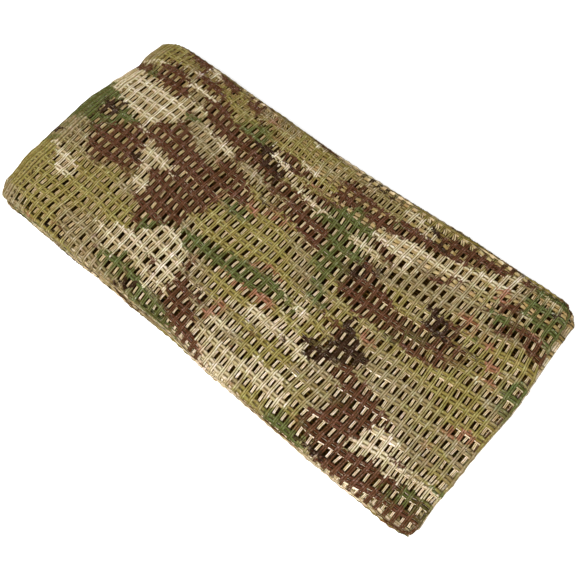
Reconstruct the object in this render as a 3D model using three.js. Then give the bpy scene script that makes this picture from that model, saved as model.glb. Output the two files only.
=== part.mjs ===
import * as THREE from 'three';

// Camouflage scrim: one length of open net cloth, folded in half twice across its width and then
// in half twice along its length, lying flat. Millimetres, +Z up, origin at the middle of the base.
// +X is the end with the two loose ends, -X the big rounded fold, -Y the near long edge.

// Driving dimensions
const PACKET_LENGTH = 488;
const PACKET_WIDTH = 230;
const SHEET = 1.25;
const LAYER_PITCH = 1.5;
const PLY_PITCH = 4.25 * LAYER_PITCH;
const THIRD_PLY_SETBACK = 4;
const LOOSE_EDGE_SETBACK = 2;

// The big fold at the left end: a broad round shoulder off the top, then a tighter round nose
const SHOULDER_RADIUS = 42;
const SHOULDER_ANGLE = THREE.MathUtils.degToRad(35);

// The four layers of a ply, and the heights of the four plies' middles above the lowest layer's middle
const OUTER_LAYER = 1.5 * LAYER_PITCH;
const INNER_LAYER = 0.5 * LAYER_PITCH;
const BOTTOM_PLY = OUTER_LAYER;
const THIRD_PLY = BOTTOM_PLY + PLY_PITCH;
const SECOND_PLY = THIRD_PLY + PLY_PITCH;
const TOP_PLY = SECOND_PLY + PLY_PITCH;
const PLY_FOLD_RADIUS = PLY_PITCH / 2;
const SHOULDER_DROP = SHOULDER_RADIUS * (1 - Math.cos(SHOULDER_ANGLE));
const NOSE_RADIUS = (TOP_PLY - BOTTOM_PLY - SHOULDER_DROP) / (1 + Math.cos(SHOULDER_ANGLE));

// Thickness of the stack: its scale in the middle, its fall from the left end to the right,
// and the round shoulders where it thins towards each side, with how far each one reaches in
const STACK_SCALE = 1.01;
const STACK_WEDGE = 0.08;
const SHOULDERS = {
  near: { fall: 0.15, reach: 13 },
  far: { fall: 0.15, reach: 15 },
  left: { fall: 0.12, reach: 24 },
  right: { fall: 0.06, reach: 12 },
};

// Soft rises and hollows of the stack, each a round bump in its own sizes
const SWELLS = [
  { x: -192, y: 84, spread: 34, rise: 0.08 },
  { x: -206, y: 52, spread: 24, rise: -0.06 },
  { x: -120, y: -30, spread: 60, rise: 0.03 },
  { x: 20, y: 40, spread: 55, rise: -0.03 },
  { x: 70, y: -60, spread: 50, rise: 0.03 },
  { x: 170, y: 20, spread: 45, rise: 0.02 },
];

// How far each side of the packet is drawn in from its plain rectangle, rounded corners included:
// low for the two plies underneath, high for the two on top
const LEFT_END = [
  { along: -115, low: 9, high: 9 },
  { along: -98, low: 4, high: 4 },
  { along: -59, low: 0, high: 0 },
  { along: 5, low: 1, high: 1 },
  { along: 45, low: 4, high: 4 },
  { along: 72, low: 10, high: 10 },
  { along: 92, low: 6, high: 6 },
  { along: 115, low: 11, high: 11 },
];
const RIGHT_END = [
  { along: -115, low: 7, high: 6 },
  { along: -100, low: 4, high: 3 },
  { along: 0, low: 0, high: 6 },
  { along: 98, low: 0, high: 8 },
  { along: 115, low: 3, high: 11 },
];
const NEAR_EDGE = [
  { along: -244, low: 7, high: 8 },
  { along: -212, low: 1, high: 2 },
  { along: -80, low: 3, high: 5 },
  { along: 30, low: 2, high: 3 },
  { along: 130, low: 0, high: 1 },
  { along: 244, low: 1, high: 3 },
];
const FAR_EDGE = [
  { along: -244, low: 6, high: 6 },
  { along: -208, low: 0, high: 0 },
  { along: 10, low: 4, high: 6 },
  { along: 140, low: 1, high: 3 },
  { along: 244, low: 0, high: 2 },
];
const END_PULL_REACH = 70;
const EDGE_PULL_REACH = 60;

// How finely the folds and the flat runs are divided
const RUN_STEPS = 9;
const NOSE_STEPS = 6;
const SHOULDER_STEPS = 4;
const PLY_FOLD_STEPS = 5;
const WIDE_EDGE_FOLD_STEPS = 5;
const TIGHT_EDGE_FOLD_STEPS = 4;
const PANEL_LINES = [-107, -94, -59, 0, 59, 94, 107];

const HALF_LENGTH = PACKET_LENGTH / 2;
const HALF_WIDTH = PACKET_WIDTH / 2;
const HALF_SHEET = SHEET / 2;
const TURN = Math.PI;

// Where the folds and runs of the length begin and end
const NOSE_CENTRE_X = -HALF_LENGTH + NOSE_RADIUS + OUTER_LAYER + HALF_SHEET;
const SHOULDER_X = NOSE_CENTRE_X + (SHOULDER_RADIUS - NOSE_RADIUS) * Math.sin(SHOULDER_ANGLE);
const INNER_FOLD_X = SHOULDER_X;
const RIGHT_FOLD_X = HALF_LENGTH - PLY_FOLD_RADIUS - OUTER_LAYER - HALF_SHEET;

// Where the folds and loose edges of the width lie
const NEAR_FOLD_Y = -HALF_WIDTH + OUTER_LAYER + HALF_SHEET;
const FAR_FOLD_Y = HALF_WIDTH - INNER_LAYER - HALF_SHEET;
const LOOSE_EDGE_Y = HALF_WIDTH - LOOSE_EDGE_SETBACK;

// Points and left-hand normals of a straight run that stops at each of the given places
function straightRun(from, to, height, stops) {
  const heading = Math.sign(to - from);
  const inside = stops.filter((stop) => (stop - from) * heading > 0 && (to - stop) * heading > 0);
  const ordered = [from, ...inside.sort((a, b) => (a - b) * heading), to];
  return ordered.map((along) => ({
    point: new THREE.Vector2(along, height),
    normal: new THREE.Vector2(0, heading),
  }));
}

// Points and left-hand normals of a half-round fold, from one end angle to the other
function roundFold(centreX, centreY, radius, fromAngle, toAngle, steps) {
  const clockwise = toAngle < fromAngle;
  const arc = new THREE.ArcCurve(centreX, centreY, radius, fromAngle, toAngle, clockwise);
  const centre = new THREE.Vector2(centreX, centreY);
  return arc.getPoints(steps).map((point) => ({
    point,
    normal: point.clone().sub(centre).normalize().multiplyScalar(clockwise ? 1 : -1),
  }));
}

// Joins stretches end to end, leaving out the point that each shares with the one before
function chain(stretches) {
  return stretches.flatMap((stretch, index) => (index === 0 ? stretch : stretch.slice(1)));
}

// The length of the cloth, seen from the side: bottom ply, big fold, top ply, right fold,
// second ply, inner fold and third ply, as places along X and heights
function lengthwiseFold() {
  const span = RIGHT_FOLD_X - INNER_FOLD_X;
  const stops = Array.from({ length: RUN_STEPS + 1 }, (_, step) => INNER_FOLD_X + (span * step) / RUN_STEPS);
  const noseHeight = BOTTOM_PLY + NOSE_RADIUS;
  const shoulderHeight = TOP_PLY - SHOULDER_RADIUS;
  const shoulderStart = 0.5 * TURN + SHOULDER_ANGLE;
  const rightHeight = SECOND_PLY + PLY_FOLD_RADIUS;
  const innerHeight = THIRD_PLY + PLY_FOLD_RADIUS;
  return chain([
    straightRun(HALF_LENGTH, NOSE_CENTRE_X, BOTTOM_PLY, stops),
    roundFold(NOSE_CENTRE_X, noseHeight, NOSE_RADIUS, 1.5 * TURN, shoulderStart, NOSE_STEPS),
    roundFold(SHOULDER_X, shoulderHeight, SHOULDER_RADIUS, shoulderStart, 0.5 * TURN, SHOULDER_STEPS),
    straightRun(SHOULDER_X, RIGHT_FOLD_X, TOP_PLY, stops),
    roundFold(RIGHT_FOLD_X, rightHeight, PLY_FOLD_RADIUS, 0.5 * TURN, -0.5 * TURN, PLY_FOLD_STEPS),
    straightRun(RIGHT_FOLD_X, INNER_FOLD_X, SECOND_PLY, stops),
    roundFold(INNER_FOLD_X, innerHeight, PLY_FOLD_RADIUS, 0.5 * TURN, 1.5 * TURN, PLY_FOLD_STEPS),
    straightRun(INNER_FOLD_X, HALF_LENGTH - THIRD_PLY_SETBACK, THIRD_PLY, stops),
  ]);
}

// The width of the cloth, seen from its end: four layers from one loose edge to the other,
// as places along Y and heights above the ply's middle
function widthwiseFold() {
  const farHeight = OUTER_LAYER - INNER_LAYER;
  return chain([
    straightRun(LOOSE_EDGE_Y, NEAR_FOLD_Y, -OUTER_LAYER, PANEL_LINES),
    roundFold(NEAR_FOLD_Y, 0, OUTER_LAYER, 1.5 * TURN, 0.5 * TURN, WIDE_EDGE_FOLD_STEPS),
    straightRun(NEAR_FOLD_Y, FAR_FOLD_Y, OUTER_LAYER, PANEL_LINES),
    roundFold(FAR_FOLD_Y, farHeight, INNER_LAYER, 0.5 * TURN, -0.5 * TURN, TIGHT_EDGE_FOLD_STEPS),
    straightRun(FAR_FOLD_Y, NEAR_FOLD_Y, INNER_LAYER, PANEL_LINES),
    roundFold(NEAR_FOLD_Y, 0, INNER_LAYER, 0.5 * TURN, 1.5 * TURN, TIGHT_EDGE_FOLD_STEPS),
    straightRun(NEAR_FOLD_Y, LOOSE_EDGE_Y, -INNER_LAYER, PANEL_LINES),
  ]);
}

// Closed outline of the folded width: one face of the sheet there, the other face back
function widthwiseRing() {
  const middle = widthwiseFold();
  const face = (side) => middle.map(({ point, normal }) => point.clone().addScaledVector(normal, side * HALF_SHEET));
  return [...face(-1), ...face(1).reverse()];
}

// Inset at a place along one side and at a height, eased between the rows of its table
function insetAt(rows, along, height) {
  const { lerp, smoothstep } = THREE.MathUtils;
  const raised = smoothstep(height, THIRD_PLY + OUTER_LAYER, SECOND_PLY - OUTER_LAYER);
  const insets = rows.map(({ low, high }) => lerp(low, high, raised));
  const next = rows.findIndex((row) => row.along >= along);
  if (next === 0) return insets[0];
  if (next < 0) return insets[insets.length - 1];
  const ease = smoothstep(along, rows[next - 1].along, rows[next].along);
  return lerp(insets[next - 1], insets[next], ease);
}

// Scale of the stack's height at a place on the plan
function stackScale(x, y) {
  const distances = {
    near: y + HALF_WIDTH,
    far: HALF_WIDTH - y,
    left: x + HALF_LENGTH,
    right: HALF_LENGTH - x,
  };
  const falls = Object.entries(SHOULDERS).map(([side, { fall, reach }]) => {
    const away = distances[side] / reach;
    return fall * Math.exp(-away * away);
  });
  const swell = SWELLS.reduce((sum, bump) => {
    const away = Math.hypot(x - bump.x, y - bump.y) / bump.spread;
    return sum + bump.rise * Math.exp(-away * away);
  }, 0);
  const wedge = STACK_SCALE - (STACK_WEDGE * x) / HALF_LENGTH;
  return wedge * (1 - Math.hypot(...falls)) + swell;
}

// Moves a point of the neatly folded cloth to where the soft packet has it
function settle(x, y, height) {
  const { smoothstep } = THREE.MathUtils;
  const leftPull = 1 - smoothstep(x, -HALF_LENGTH, -HALF_LENGTH + END_PULL_REACH);
  const rightPull = smoothstep(x, HALF_LENGTH - END_PULL_REACH, HALF_LENGTH);
  const nearPull = 1 - smoothstep(y, -HALF_WIDTH, -HALF_WIDTH + EDGE_PULL_REACH);
  const farPull = smoothstep(y, HALF_WIDTH - EDGE_PULL_REACH, HALF_WIDTH);
  const left = leftPull * insetAt(LEFT_END, y, height);
  const right = rightPull * insetAt(RIGHT_END, y, height);
  const near = nearPull * insetAt(NEAR_EDGE, x, height);
  const far = farPull * insetAt(FAR_EDGE, x, height);
  const place = new THREE.Vector2(x + left - right, y + near - far);
  return new THREE.Vector3(place.x, place.y, (height + HALF_SHEET) * stackScale(place.x, place.y));
}

// The closed sheet: the folded width carried along the folded length, with both ends closed
function foldedSheet() {
  const stations = lengthwiseFold();
  const ring = widthwiseRing();
  const count = ring.length;
  const positions = [];
  for (const { point, normal } of stations) {
    for (const place of ring) {
      const x = point.x + normal.x * place.y;
      const height = point.y + normal.y * place.y;
      positions.push(...settle(x, place.x, height).toArray());
    }
  }

  // The diagonal of each small face runs the same way on the plan in every layer, so layers nest
  const triangles = [];
  for (let i = 0; i + 1 < stations.length; i += 1) {
    const runsRight = stations[i + 1].point.x > stations[i].point.x;
    for (let j = 0; j < count; j += 1) {
      const k = (j + 1) % count;
      const runsFar = ring[k].x > ring[j].x;
      const [a, b, c, d] = [i * count + j, i * count + k, (i + 1) * count + k, (i + 1) * count + j];
      if (runsRight === runsFar) triangles.push(a, b, c, a, c, d);
      else triangles.push(a, b, d, b, c, d);
    }
  }

  // Each end is a strip between the two faces of the sheet
  const last = (stations.length - 1) * count;
  for (let j = 0; j + 1 < count / 2; j += 1) {
    const [a, b, c, d] = [j, j + 1, count - 2 - j, count - 1 - j];
    triangles.push(a, c, b, a, d, c);
    triangles.push(last + a, last + b, last + c, last + a, last + c, last + d);
  }

  const geometry = new THREE.BufferGeometry();
  geometry.setAttribute('position', new THREE.Float32BufferAttribute(positions, 3));
  geometry.setIndex(triangles);
  geometry.computeVertexNormals();
  return geometry;
}

const netCloth = new THREE.MeshStandardMaterial({ color: 0x857b50, roughness: 0.92, metalness: 0 });

const scrim = new THREE.Group();
const foldedNet = new THREE.Mesh(foldedSheet(), netCloth);
foldedNet.name = 'folded_net';
scrim.add(foldedNet);

export default scrim;
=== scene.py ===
import math
from collections import namedtuple

import bmesh
import bpy
import numpy as np
from mathutils import Matrix, Vector


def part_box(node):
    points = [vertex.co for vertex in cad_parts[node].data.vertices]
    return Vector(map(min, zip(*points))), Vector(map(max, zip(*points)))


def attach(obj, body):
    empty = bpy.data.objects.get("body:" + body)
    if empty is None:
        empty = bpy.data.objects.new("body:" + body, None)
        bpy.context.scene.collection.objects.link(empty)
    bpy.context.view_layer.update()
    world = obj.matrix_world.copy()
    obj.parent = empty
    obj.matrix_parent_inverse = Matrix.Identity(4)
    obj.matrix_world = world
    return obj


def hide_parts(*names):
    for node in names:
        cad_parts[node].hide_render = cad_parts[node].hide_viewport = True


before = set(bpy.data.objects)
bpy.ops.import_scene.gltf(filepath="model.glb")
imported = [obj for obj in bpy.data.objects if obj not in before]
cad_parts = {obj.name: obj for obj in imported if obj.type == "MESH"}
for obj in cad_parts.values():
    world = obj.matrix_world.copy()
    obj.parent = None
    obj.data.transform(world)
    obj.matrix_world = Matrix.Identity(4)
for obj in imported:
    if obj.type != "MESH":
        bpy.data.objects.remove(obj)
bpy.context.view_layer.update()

bl_info = {
    "name": "Folded camouflage scrim",
    "version": (1, 0, 0),
    "blender": (4, 5, 0),
    "location": "3D View > Sidebar > Scrim",
    "description": "Weaves a camouflage net yarn by yarn, folds it into a flat packet and lights it",
    "category": "Add Mesh",
}

CAD_NODE = "folded_net"
BODY = "root"
MM = 0.001

# The folded packet: a sheet folded in half twice each way. The packet is as long and wide as its solid.
HALF_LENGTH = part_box(CAD_NODE)[1].x
HALF_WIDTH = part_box(CAD_NODE)[1].y
SHEET = 1.25 * MM
LAYER_PITCH = 1.5 * MM
PLY_PITCH = 4.25 * LAYER_PITCH
THIRD_PLY_SETBACK = 4 * MM
LOOSE_EDGE_OUT = 1.5 * MM
SHOULDER_RADIUS = 42 * MM
SHOULDER_ANGLE = math.radians(35)
HALF_TURN = math.pi
FULL_TURN = 2 * HALF_TURN
HALF_SHEET = SHEET / 2

# The layers of a ply and the plies of the stack, as heights above the lowest layer's middle
OUTER_LAYER = 1.5 * LAYER_PITCH
INNER_LAYER = 0.5 * LAYER_PITCH
BOTTOM_PLY = OUTER_LAYER
THIRD_PLY = BOTTOM_PLY + PLY_PITCH
SECOND_PLY = THIRD_PLY + PLY_PITCH
TOP_PLY = SECOND_PLY + PLY_PITCH
PLY_FOLD_RADIUS = PLY_PITCH / 2
SHOULDER_DROP = SHOULDER_RADIUS * (1 - math.cos(SHOULDER_ANGLE))
NOSE_RADIUS = (TOP_PLY - BOTTOM_PLY - SHOULDER_DROP) / (1 + math.cos(SHOULDER_ANGLE))

# Where the folds of the length and of the width lie
NOSE_X = -HALF_LENGTH + NOSE_RADIUS + OUTER_LAYER + HALF_SHEET
SHOULDER_X = NOSE_X + (SHOULDER_RADIUS - NOSE_RADIUS) * math.sin(SHOULDER_ANGLE)
RIGHT_FOLD_X = HALF_LENGTH - PLY_FOLD_RADIUS - OUTER_LAYER - HALF_SHEET
NEAR_FOLD_Y = -HALF_WIDTH + OUTER_LAYER + HALF_SHEET
FAR_FOLD_Y = HALF_WIDTH - INNER_LAYER - HALF_SHEET
LOOSE_EDGE_Y = HALF_WIDTH + LOOSE_EDGE_OUT

# Thickness of the stack: its scale, its fall from left to right, its round shoulders and soft swells
STACK_SCALE = 1.01
STACK_WEDGE = 0.08
Shoulder = namedtuple("Shoulder", "axis side fall reach")
SHOULDERS = (
    Shoulder("y", -1, 0.15, 13 * MM),
    Shoulder("y", 1, 0.15, 15 * MM),
    Shoulder("x", -1, 0.12, 24 * MM),
    Shoulder("x", 1, 0.06, 12 * MM),
)
Swell = namedtuple("Swell", "x y spread rise")
SWELLS = (
    Swell(-192 * MM, 84 * MM, 34 * MM, 0.08),
    Swell(-206 * MM, 52 * MM, 24 * MM, -0.06),
    Swell(-120 * MM, -30 * MM, 60 * MM, 0.03),
    Swell(20 * MM, 40 * MM, 55 * MM, -0.03),
    Swell(70 * MM, -60 * MM, 50 * MM, 0.03),
    Swell(170 * MM, 20 * MM, 45 * MM, 0.02),
)

# How far each side is drawn in, in millimetres: low for the two plies underneath, high for the two on top
Inset = namedtuple("Inset", "along low high")
LEFT_END = (
    Inset(-115, 10, 10),
    Inset(-98, 6.8, 6.8),
    Inset(-59, 1, 1),
    Inset(-30, -2, -2),
    Inset(15, -2, -2),
    Inset(45, 2.5, 2.5),
    Inset(58, 7, 7),
    Inset(75, 11.5, 11.5),
    Inset(92, 8.5, 8.5),
    Inset(115, 9, 9),
)
RIGHT_END = (
    Inset(-115, 6, 5),
    Inset(-88, 5, 4),
    Inset(-60, 3.3, 2.2),
    Inset(0, -0.9, -1.6),
    Inset(35, 0.3, 0.3),
    Inset(60, 2.6, 4.4),
    Inset(82, 5, 8.2),
    Inset(115, 4.4, 9.2),
)
NEAR_EDGE = (
    Inset(-244, 4, 5),
    Inset(-225, 1.6, 2.6),
    Inset(-205, 2.6, 3.6),
    Inset(-180, 2, 3.2),
    Inset(-150, 2, 3.4),
    Inset(-95, 0.5, 2.4),
    Inset(-60, 2, 4),
    Inset(-12, 3, 4.6),
    Inset(42, -2, -0.8),
    Inset(110, -2, -1),
    Inset(165, -3.2, -2.6),
    Inset(222, -0.6, -0.8),
    Inset(244, 1.5, 1),
)
FAR_EDGE = (
    Inset(-244, 6, 6),
    Inset(-208, 0.8, 0.8),
    Inset(10, 4, 5.6),
    Inset(150, 0, 2),
    Inset(244, 0, 2),
)
Corner = namedtuple("Corner", "x_side y_side radius")
ROUND_CORNERS = (
    Corner(-1, -1, 13 * MM),
    Corner(1, -1, 6 * MM),
    Corner(1, 1, 11 * MM),
)
END_PULL_REACH = 70 * MM
EDGE_PULL_REACH = 60 * MM

# How the net lies askew: rows that sag along the packet, columns that waver, layers out of step
Sag = namedtuple("Sag", "begin end drop")
ROW_SAGS = (
    Sag(-0.75, -0.1, -14 * MM),
    Sag(-0.35, 0.5, -9 * MM),
    Sag(0.42, 1.1, 9 * MM),
)
Waver = namedtuple("Waver", "size wave drift phase")
COLUMN_WAVERS = (
    Waver(1.3 * MM, 190 * MM, 320 * MM, 0.4),
    Waver(0.6 * MM, 71 * MM, 150 * MM, 2.1),
)
ROW_WAVERS = (
    Waver(0.8 * MM, 130 * MM, 210 * MM, 1.2),
    Waver(0.4 * MM, 47 * MM, 90 * MM, 0.2),
)
LEAD_WAVERS = (
    Waver(0.07, 330 * MM, 190 * MM, 0.8),
    Waver(0.05, 120 * MM, 260 * MM, 2.5),
)
COLUMN_STRETCH = 6.7 * MM
SHIFT_EASE = 9 * MM
SLIP_REACH = 38 * MM
SAG_MARGIN = 28 * MM
SAG_HALFWAY = 0.6
Askew = namedtuple("Askew", "shift slip")

# How far the second layer is out of step with the top one, as a share of the column pitch: all over, more
# at the right, and by the far fold less at the left and more from there on
LEAD = 0.44
LEAD_AT_RIGHT = 0.06
LEAD_LESS_BY_FOLD = 0.06
LEAD_MORE_BY_FOLD = 0.16
LEAD_RIGHT_PART = (0.0, 0.9)
LEAD_MORE_PART = (-0.5, 0.1)
LEAD_FOLD_FADE = (40 * MM, 140 * MM)

# Finish of the free ends and edges: a few bands set close together
END_BANDS = 3
END_BAND_PITCH = 4.1 * MM
EDGE_BANDS = 2
EDGE_BAND_PITCH = 5.0 * MM
EDGE_BAND_FIRST = 2.6 * MM

# The top ply's stretch begins this far before the left fold and ends this far past the right one
BEFORE_NOSE = 9 * MM
PAST_RIGHT_FOLD = 7 * MM

# Over the left fold the columns are broad cords, up to this far before the fold's upper end
CORDS_END_BEFORE = 3 * MM

# The second layer's columns are broader from the left fold up to this far past the fold's upper end
BROAD_PAST_FOLD = 110 * MM
BROADER = 1.32

# Light left at depths under the packet's outside, and how well it reaches in from the sides
Depth = namedtuple("Depth", "depth light")
DEEP_DARK = (
    Depth(-1.0 * MM, 1.0),
    Depth(0.1 * MM, 1.0),
    Depth(0.8 * MM, 0.9),
    Depth(1.8 * MM, 1.0),
    Depth(2.3 * MM, 0.4),
    Depth(2.7 * MM, 0.06),
    Depth(9.0 * MM, 0.03),
)
SIDE_LIGHT = 0.4

# The second layer against the top one, as painted shade and light: darker by the far fold and at the left,
# brighter at the near side
COLUMNS_FOLD_SHADE = 0.3
ROWS_FOLD_SHADE = 0.45
LEFT_SHADE = 0.22
NEAR_LIGHT = 0.24
FOLD_FADE = (0.4, 1.2)
LEFT_FADE = (-0.6, 0.0)
NEAR_FADE = (0.0, 0.6)
NEAR_LEFT_FADE = (-0.5, 0.0)
SECOND_EASE = 3 * MM

# Limits of the mesh: the lowest point, the least step along a strand, the least length that counts
LOWEST_YARN = 0.1 * MM
CLOSEST_STATION = 0.35 * MM
TINY = 1e-9

# Two yarns of a column lie this far apart, as shares of their width, and two strands of a row
PAIR_GAP = 0.38
PAIR_SPREAD = 0.7
PLUMP_SPREAD = 1.1

# Unevenness of the yarn: its slubs, its dye from strand to strand, the print's slip along each strand, and
# the length and size of the waves in which each band strays. A noise is its rate to the metre and detail.
SLUB_NOISE = (130.0, 2.0)
SLUB_BETWEEN = 9.0
DYE_SEED = 4
DYE_SPREAD = 0.09
PRINT_SLIP = 1.2 * MM
BAND_WANDERS = (
    (97 * MM, 0.45 * MM),
    (41 * MM, 0.3 * MM),
)
LEAST_WANDER = 0.4

# The map of unrolled strands: the bare margin of each strip and the columns' share of the map
BAKE_MAP = "OFBake"
STRIP_MARGIN = 0.06
COLUMN_SHARE = 0.5

# The print: its colours, the ground first, and its layers. A layer has the place where its noise starts,
# its patches to the metre each way, their turn and raggedness, and how much they cover.
PRINT_COLOURS = ("Khaki", "Olive", "Green", "Brown", "Dark", "Clay", "Cream")
PrintLayer = namedtuple("PrintLayer", "colour start rate turn detail wander begins edge")
PRINT_LAYERS = (
    PrintLayer("Olive", (3.1, 1.7, 0.0), (9.0, 15.0, 1.0), 0.15, 3.5, 0.6, 0.5, 0.05),
    PrintLayer("Clay", (1.9, 9.6, 0.0), (14.0, 25.0, 1.0), 0.3, 3.0, 0.5, 0.615, 0.025),
    PrintLayer("Brown", (5.5, 2.8, 0.0), (7.0, 12.5, 1.0), 0.1, 4.5, 0.8, 0.508, 0.012),
    PrintLayer("Green", (8.4, 5.2, 0.0), (8.5, 15.0, 1.0), -0.1, 4.0, 0.7, 0.565, 0.03),
    PrintLayer("Dark", (6.3, 7.7, 0.0), (15.0, 28.0, 1.0), -0.2, 4.0, 0.7, 0.64, 0.014),
    PrintLayer("Cream", (2.2, 4.9, 0.0), (9.0, 22.0, 1.0), 0.25, 3.5, 0.9, 0.603, 0.01),
)

# The yarn's finish. A noise is its rate to the metre and detail, a range is where a noise, or the height on
# a strand, begins and ends to count, and a tone is its least value and what a noise adds to it. The crest,
# valley and twist groove values are painted shade and highlight, and the shade powers make darker colours
# warmer.
RAGGED_NOISE = (260.0, 2.0)
RAGGED_REACH = 14 * MM
FUZZ_NOISE = (620.0, 3.0)
FUZZ_ROUND_YARN = 1.5 * MM
FUZZY_EDGE = 0.7
PRINTED_RANGE = (-0.05, 0.45)
SEEP_NOISE = (55.0, 2.0)
SEEP_RANGE = (0.36, 0.68)
SEEP_MOST = 0.38
FLECK_RANGE = (0.53, 0.75)
FLECK_MOST = 0.18
FUZZ_TONE = (0.45, 0.94)
MOTTLE_TONE = (0.6, 0.8)
TWIST_TURNS = 300.0
TWIST_PLIES = 2.0
# Painted shade in the grooves of the twist
TWIST_GROOVE_SHADE = 0.07
# Painted shade on each strand: darker on its sides, in the valleys between strands, with a painted highlight
# on its crest
CREST_SHADE_RANGE = (0.1, 0.85)
CREST_HIGHLIGHT = 1.06
UPPER_VALLEY_SHADE = 0.45
LOWER_VALLEY_SHADE = 0.72
SHADE_GREEN_POWER = 1.18
SHADE_BLUE_POWER = 1.85
TINT_NOISE = (210.0, 1.0)
TINT_TONE = (0.87, 0.26)
TWIST_RELIEF = 0.45
RELIEF_STRENGTH = 0.6
RELIEF_DEPTH = 0.25 * MM
ROUGHNESS = (0.82, 0.15)
SHINE = 0.02

# The camera that the packet is seen from
CAMERA_PLACE = Vector((249.2, -201.4, 602.9)) * MM
CAMERA_RIGHT = Vector((0.7575, 0.6498, -0.0626))
CAMERA_AHEAD = Vector((-0.3173, 0.2826, -0.9052))
CAMERA_LENS = 47.88
CAMERA_SENSOR = 36.0

# The broad light overhead, and the floor's finish
LIGHT_PLACE = Vector((0.25, -0.75, 1.3))
LIGHT_SIZE = 1.0
FLOOR_ROUGHNESS = 0.9

# A straight or evenly bent part of a folded line
Part = namedtuple("Part", "begin length place heading bend")


def along_line(line, distance):
    """Places and left-hand normals at distances along a folded line."""
    parts = list(line.values())
    begins = np.array([part.begin for part in parts])
    which = np.clip(np.searchsorted(begins, distance, side="right") - 1, 0, len(parts) - 1)
    run = distance - begins[which]
    bend = np.array([part.bend for part in parts])[which]
    heading = np.array([part.heading for part in parts])[which]
    start = np.array([part.place for part in parts])[which]
    half = 0.5 * bend * run
    chord = run * np.sinc(half / math.pi)
    place = start + chord[:, None] * np.stack([np.cos(heading + half), np.sin(heading + half)], 1)
    last = heading + bend * run
    return place, np.stack([-np.sin(last), np.cos(last)], 1)


def folded_line(place, heading, parts):
    """Lays named parts end to end, each a length and the angle it turns through, positive to the left."""
    laid = {}
    begin = 0.0
    place = np.array(place, float)
    for name, length, turn in parts:
        part = Part(begin, length, place, heading, turn / length)
        laid[name] = part
        place = along_line({name: part}, np.array([begin + length]))[0][0]
        heading = heading + turn
        begin = begin + length
    return laid


def line_length(line):
    """The whole length of a folded line."""
    last = list(line.values())[-1]
    return last.begin + last.length


def lengthwise_fold():
    """The length of the cloth from the side, from the bottom ply's loose end to the third ply's."""
    nose_turn = SHOULDER_ANGLE - HALF_TURN
    return folded_line(
        (HALF_LENGTH, BOTTOM_PLY),
        HALF_TURN,
        (
            ("bottom ply", HALF_LENGTH - NOSE_X, 0.0),
            ("nose", -nose_turn * NOSE_RADIUS, nose_turn),
            ("shoulder", SHOULDER_ANGLE * SHOULDER_RADIUS, -SHOULDER_ANGLE),
            ("top ply", RIGHT_FOLD_X - SHOULDER_X, 0.0),
            ("right fold", HALF_TURN * PLY_FOLD_RADIUS, -HALF_TURN),
            ("second ply", RIGHT_FOLD_X - SHOULDER_X, 0.0),
            ("left fold", HALF_TURN * PLY_FOLD_RADIUS, HALF_TURN),
            ("third ply", HALF_LENGTH - THIRD_PLY_SETBACK - SHOULDER_X, 0.0),
        ),
    )


def widthwise_fold():
    """The width of the cloth from its end, from the lowest layer's loose edge to the third layer's."""
    return folded_line(
        (LOOSE_EDGE_Y, -OUTER_LAYER),
        HALF_TURN,
        (
            ("lowest layer", LOOSE_EDGE_Y - NEAR_FOLD_Y, 0.0),
            ("near fold", HALF_TURN * OUTER_LAYER, -HALF_TURN),
            ("top layer", FAR_FOLD_Y - NEAR_FOLD_Y, 0.0),
            ("far fold", HALF_TURN * INNER_LAYER, -HALF_TURN),
            ("second layer", FAR_FOLD_Y - NEAR_FOLD_Y, 0.0),
            ("inner fold", HALF_TURN * INNER_LAYER, HALF_TURN),
            ("third layer", LOOSE_EDGE_Y - NEAR_FOLD_Y, 0.0),
        ),
    )


LENGTHWISE = lengthwise_fold()
WIDTHWISE = widthwise_fold()
CLOTH_LENGTH = line_length(LENGTHWISE)
CLOTH_WIDTH = line_length(WIDTHWISE)


def eased(value, low, high):
    """From 0 at low to 1 at high, with soft ends."""
    share = np.clip((value - low) / (high - low), 0, 1)
    return share * share * (3 - 2 * share)


def eased_table(knots, values, along):
    """Values between the knots of a table, with soft steps from one to the next."""
    knots = np.array(knots)
    values = np.array(values)
    after = np.clip(np.searchsorted(knots, along), 1, len(knots) - 1)
    step = eased(along, knots[after - 1], knots[after])
    return values[after - 1] + (values[after] - values[after - 1]) * step


def inset_at(rows, along, height):
    """How far a side is drawn in at places along it and at heights in the stack."""
    knots = [row.along * MM for row in rows]
    low = eased_table(knots, [row.low * MM for row in rows], along)
    high = eased_table(knots, [row.high * MM for row in rows], along)
    return low + (high - low) * eased(height, THIRD_PLY + OUTER_LAYER, SECOND_PLY - OUTER_LAYER)


def stack_scale(x, y):
    """Scale of the stack's height at places on the plan."""
    place = {"x": x, "y": y}
    half = {"x": HALF_LENGTH, "y": HALF_WIDTH}
    falls = 0.0
    for edge in SHOULDERS:
        away = (half[edge.axis] - edge.side * place[edge.axis]) / edge.reach
        falls = falls + (edge.fall * np.exp(-away * away)) ** 2
    scale = (STACK_SCALE - STACK_WEDGE * x / HALF_LENGTH) * (1 - np.sqrt(falls))
    for swell in SWELLS:
        away = np.hypot(x - swell.x, y - swell.y) / swell.spread
        scale = scale + swell.rise * np.exp(-away * away)
    return scale


def rounded(x, y, corner):
    """Moves points near a square corner of the plan so that the corner is round."""
    middle_x = corner.x_side * (HALF_LENGTH - corner.radius)
    middle_y = corner.y_side * (HALF_WIDTH - corner.radius)
    out_x = np.maximum((x - middle_x) * corner.x_side, 0.0)
    out_y = np.maximum((y - middle_y) * corner.y_side, 0.0)
    within = np.minimum(out_x, out_y) > 0
    away = np.maximum(np.hypot(out_x, out_y), TINY)
    share = np.where(within, np.maximum(out_x, out_y) / away, 1.0)
    x = np.where(within, middle_x + (x - middle_x) * share, x)
    y = np.where(within, middle_y + (y - middle_y) * share, y)
    return x, y


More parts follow.
